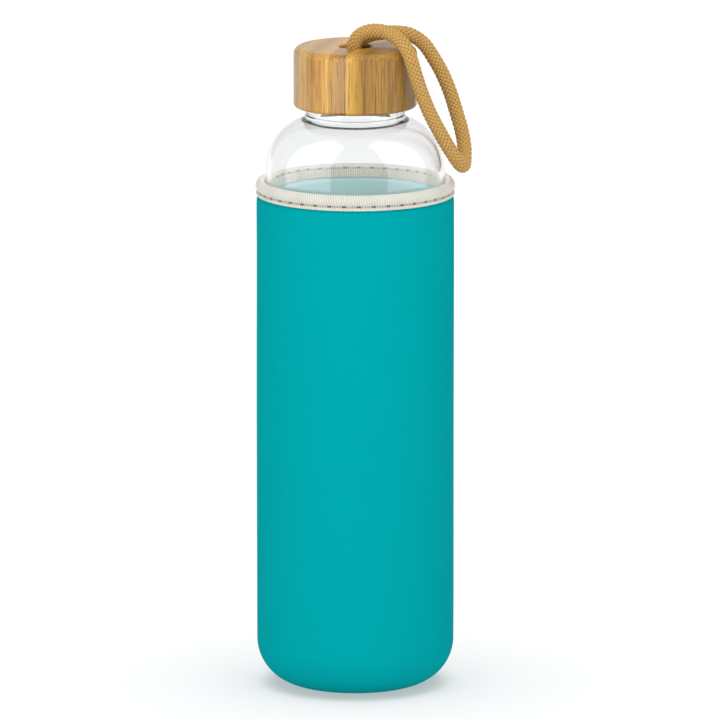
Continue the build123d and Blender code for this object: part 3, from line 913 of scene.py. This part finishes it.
threads = []
for i in range(36):
    spoke = TAU * i / 36
    t = np.linspace(-1, 1, 13)
    reach = 17.5 + 1.5 * t
    z = 0.16 + 0.3 * np.abs(t) ** 6
    lean = 0.35 * t
    path = np.stack([reach * np.cos(spoke) - lean * np.sin(spoke),
                     reach * np.sin(spoke) + lean * np.cos(spoke), z], 1) * MM
    threads += ply_thread(path, 0.00015, 0.0013)
base_seam = joined("base_seam_threads", threads, TEAL_THREAD)
place_piece(base_seam, "sleeve", "sewing_thread", "base_seam_stitches")

# ---- carried-over CAD nodes -----------------------------------------------------------------

for node, material in (("thread_liner", LINER), ("seal_ring", SILICONE)):
    frame["nodes"][node].data.materials.clear()
    frame["nodes"][node].data.materials.append(material)


# ---- floor, light ---------------------------------------------------------------------------

# The floor glows like a light table, which keeps the shadow under the bottle short and pale.
floor_paint = Paint("floor", Roughness=1.0, Specular_IOR_Level=0.0,
                    Emission_Color=(1, 1, 1, 1), Emission_Strength=0.42)
floor_grain = floor_paint.noise(floor_paint.place(), 300, 3)
floor_paint.set(Base_Color=floor_paint.mix(floor_grain, (0.45, 0.45, 0.45),
                                           (0.465, 0.465, 0.465)))
floor_mesh = bpy.data.meshes.new("floor")
FLOOR_HALF = 8.0
floor_mesh.from_pydata([(-FLOOR_HALF, -FLOOR_HALF, 0), (FLOOR_HALF, -FLOOR_HALF, 0),
                        (FLOOR_HALF, FLOOR_HALF, 0), (-FLOOR_HALF, FLOOR_HALF, 0)], [],
                       [(0, 1, 2, 3)])
floor_mesh.materials.append(floor_paint.material)
floor = bpy.data.objects.new("floor", floor_mesh)
bpy.context.scene.collection.objects.link(floor)

# The sky is dimmer as a light than it looks.
world = bpy.data.worlds.new("studio")
world.use_nodes = True
sky_nodes = world.node_tree.nodes
ray = sky_nodes.new("ShaderNodeLightPath")
seen = sky_nodes.new("ShaderNodeMath")
seen.operation = "MAXIMUM"
strength = sky_nodes.new("ShaderNodeMapRange")
strength.inputs["To Min"].default_value = 0.40      # as a light on cloth and wood
strength.inputs["To Max"].default_value = 0.85      # as seen in and through the glass
backdrop = sky_nodes.new("ShaderNodeMath")          # added where the camera sees it, so white
backdrop.operation = "MULTIPLY_ADD"
backdrop.inputs[1].default_value = 0.6
for start, end in ((ray.outputs["Is Glossy Ray"], seen.inputs[0]),
                   (ray.outputs["Is Transmission Ray"], seen.inputs[1]),
                   (seen.outputs[0], strength.inputs["Value"]),
                   (ray.outputs["Is Camera Ray"], backdrop.inputs[0]),
                   (strength.outputs[0], backdrop.inputs[2]),
                   (backdrop.outputs[0], sky_nodes["Background"].inputs["Strength"])):
    world.node_tree.links.new(start, end)
sky_nodes["Background"].inputs["Color"].default_value = (1, 1, 1, 1)
bpy.context.scene.world = world


def softbox(name, azimuth, elevation, distance, width, tall, radiance, height=0.12):
    """Panel facing the bottle, azimuth degrees round from the camera's side. Its radiance is
    compared with the white of the picture."""
    data = bpy.data.lights.new(name, "AREA")
    data.shape = "RECTANGLE"
    data.size = width
    data.size_y = tall
    data.energy = radiance * width * tall * math.pi
    panel = bpy.data.objects.new(name, data)
    a, e = math.radians(azimuth), math.radians(elevation)
    away = Vector((math.sin(a) * math.cos(e), -math.cos(a) * math.cos(e), math.sin(e)))
    panel.location = away * distance + Vector((0, 0, height))
    panel.rotation_mode = "QUATERNION"
    panel.rotation_quaternion = (-away).to_track_quat("-Z", "Y")
    bpy.context.scene.collection.objects.link(panel)
    return panel


def group_of(name, *objects):
    """Collection that a lamp's light linking names. It isn't in the scene."""
    made = bpy.data.collections.new(name)
    for item in objects:
        made.objects.link(item)
    return made


shiny = group_of("shiny", bottle)
wooden = group_of("wooden", *(o for o in bpy.context.scene.objects if o.name.endswith("_grain")))
lit_inside = group_of("lined", lining, tape)
lit_floor = group_of("lit_floor", floor)
clear, off_floor = group_of("clear", bottle), group_of("off_floor", floor)
for collection in (clear, off_floor):
    collection.collection_objects[0].light_linking.link_state = "EXCLUDE"

# Tall panels make the reflections: two in the glass and a narrow one in the wood.
PANELS = (      # name, azimuth, width in metres, radiance, what reflects it
    ("left_panel", -66, 0.84, 1.7, shiny), ("right_panel", 72, 0.72, 1.55, shiny),
    ("lid_panel", -30, 0.36, 5.0, wooden))
PANEL_DISTANCE, PANEL_HEIGHT, PANEL_MIDDLE = 0.62, 2.4, 1.21
for name, azimuth, width, radiance, receivers in PANELS:
    panel = softbox(name, azimuth, 0, PANEL_DISTANCE, width, PANEL_HEIGHT, radiance,
                    height=PANEL_MIDDLE)
    panel.visible_diffuse = False
    panel.light_linking.receiver_collection = receivers

# Square softboxes light the cloth and wood, and the glass doesn't shade what is inside it.
BOXES = (       # name, azimuth, elevation, radiance
    ("key", -28, 42, 2.25), ("fill", 30, 38, 1.35), ("low", 5, 2, 1.8),
    ("left", -80, 5, 0.8), ("right", 80, 5, 0.6), ("top", -10, 84, 2.0))
BOX_DISTANCE, BOX_SIDE = 1.5, 1.0
for name, azimuth, elevation, radiance in BOXES:
    panel = softbox(name, azimuth, elevation, BOX_DISTANCE, BOX_SIDE, BOX_SIDE, radiance)
    panel.visible_glossy = False
    panel.visible_transmission = False
    panel.light_linking.blocker_collection = clear
    panel.light_linking.receiver_collection = off_floor

# Daylight that a white room throws into the bottle.
inside_data = bpy.data.lights.new("inside_light", "POINT")
inside_data.energy = 0.026
inside_data.shadow_soft_size = 0.006
inside = bpy.data.objects.new("inside_light", inside_data)
inside.location = (0, 0, 0.2)
inside.visible_camera = inside.visible_glossy = inside.visible_transmission = False
bpy.context.scene.collection.objects.link(inside)
inside.light_linking.receiver_collection = lit_inside
inside.light_linking.blocker_collection = clear

# Light from straight above on the floor alone.
floor_light_data = bpy.data.lights.new("floor_light", "SUN")
floor_light_data.angle = math.radians(60)
floor_light_data.energy = 3.1
floor_light = bpy.data.objects.new("floor_light", floor_light_data)
bpy.context.scene.collection.objects.link(floor_light)
floor_light.light_linking.receiver_collection = lit_floor

bpy.context.scene.view_settings.view_transform = "Standard"
